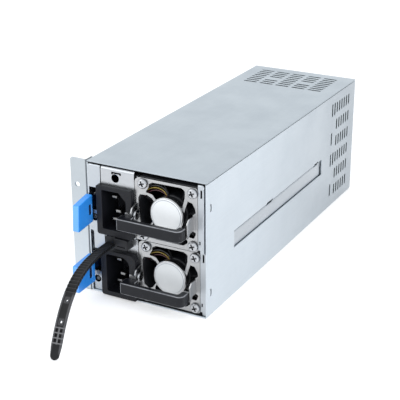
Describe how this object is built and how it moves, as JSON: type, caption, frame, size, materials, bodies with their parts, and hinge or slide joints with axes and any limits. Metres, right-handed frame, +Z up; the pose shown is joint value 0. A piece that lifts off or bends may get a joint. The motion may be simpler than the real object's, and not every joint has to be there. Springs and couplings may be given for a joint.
{
  "type": "hot swap server power supply",
  "caption": "Steel 2U cage holding stacked slide-out power modules, each with fan guard, pull handle, mains inlet and sprung blue latch; rear vents.",
  "frame": {"origin": "centre of the cage's bottom face", "axes": "+X right as seen from the front, +Y from the front to the rear, +Z up"},
  "size_m": [0.0901, 0.3072, 0.084],
  "materials": {
    "galvanised_steel": "bright zinc-coated sheet, satin with faint spangle",
    "nickel_steel": "nickel-plated stamped steel",
    "screw_steel": "bright zinc-plated screw",
    "black_plastic": "black moulded plastic, fine texture",
    "black_gloss": "black moulded plastic, semi-gloss",
    "blue_plastic": "azure blue moulded plastic",
    "white_label": "white satin disc",
    "lead_insulation": "coloured lead insulation",
    "brass_contact": "nickel-plated brass contact",
    "circuit_board": "green solder mask",
    "white_nylon": "natural nylon",
    "led_lens": "tinted clear lens",
    "ferrite": "dark ferrite with taped winding",
    "capacitor_sleeve": "shrink sleeve on an aluminium can",
    "aluminium": "extruded aluminium"
  },
  "bodies": {
    "cage": {"cage_base": "galvanised_steel", "cage_lid": "galvanised_steel", "cage_rear_panel": "galvanised_steel", "mounting_ear": "galvanised_steel", "ear_rivets": "screw_steel", "rear_screws": "screw_steel", "mid_shelf": "galvanised_steel", "top_runners": "white_nylon", "backplane_board": "circuit_board", "backplane_sockets": "black_plastic", "backplane_standoffs": "brass_contact", "output_headers": "white_nylon", "harness_bushing": "black_plastic"},
    "upper_module": {"upper_case_tray": "galvanised_steel", "upper_case_cover": "galvanised_steel", "upper_front_plate": "nickel_steel", "upper_fan_guard": "nickel_steel", "upper_guard_screws": "screw_steel", "upper_hub_label": "white_label", "upper_fan_frame": "black_plastic", "upper_fan_wires": "lead_insulation", "upper_inlet_housing": "black_gloss", "upper_inlet_pins": "brass_contact", "upper_handle_grip": "black_gloss", "upper_handle_screws": "screw_steel", "upper_leg_screw": "screw_steel", "upper_latch_pin": "screw_steel", "upper_status_led": "led_lens", "upper_main_board": "circuit_board", "upper_transformer": "ferrite", "upper_bulk_capacitors": "capacitor_sleeve", "upper_heatsinks": "aluminium", "upper_filter_chokes": "ferrite"},
    "upper_latch": {"upper_latch_lever": "blue_plastic"},
    "upper_fan": {"upper_fan_rotor": "black_plastic"},
    "lower_module": {"lower_case_tray": "galvanised_steel", "lower_case_cover": "galvanised_steel", "lower_front_plate": "nickel_steel", "lower_fan_guard": "nickel_steel", "lower_guard_screws": "screw_steel", "lower_hub_label": "white_label", "lower_fan_frame": "black_plastic", "lower_fan_wires": "lead_insulation", "lower_inlet_housing": "black_gloss", "lower_inlet_pins": "brass_contact", "lower_handle_grip": "black_gloss", "lower_handle_screws": "screw_steel", "lower_leg_screw": "screw_steel", "lower_latch_pin": "screw_steel", "lower_status_led": "led_lens", "lower_main_board": "circuit_board", "lower_transformer": "ferrite", "lower_bulk_capacitors": "capacitor_sleeve", "lower_heatsinks": "aluminium", "lower_filter_chokes": "ferrite", "strap_mount": "black_plastic", "retention_strap": "black_plastic"},
    "lower_latch": {"lower_latch_lever": "blue_plastic"},
    "lower_fan": {"lower_fan_rotor": "black_plastic"}
  },
  "joints": [
    {"name": "upper_module_slide", "type": "slide", "parent": "cage", "child": "upper_module", "axis": [0, -1, 0], "range_m": [0, 0.2]},
    {"name": "upper_latch_pivot", "type": "hinge", "parent": "upper_module", "child": "upper_latch", "pos_m": [-0.0357, -0.10045, 0.05865], "axis": [0, 0, 1], "range_deg": [0, 6], "stiffness_Nm_per_rad": 0.12},
    {"name": "upper_fan_spin", "type": "hinge", "parent": "upper_module", "child": "upper_fan", "pos_m": [0.0154, -0.10045, 0.0611], "axis": [0, 1, 0], "continuous": true},
    {"name": "lower_module_slide", "type": "slide", "parent": "cage", "child": "lower_module", "axis": [0, -1, 0], "range_m": [0, 0.2]},
    {"name": "lower_latch_pivot", "type": "hinge", "parent": "lower_module", "child": "lower_latch", "pos_m": [-0.0357, -0.09805, 0.0185], "axis": [0, 0, 1], "range_deg": [0, 6], "stiffness_Nm_per_rad": 0.12},
    {"name": "lower_fan_spin", "type": "hinge", "parent": "lower_module", "child": "lower_fan", "pos_m": [0.0154, -0.09805, 0.02095], "axis": [0, 1, 0], "continuous": true}
  ]
}
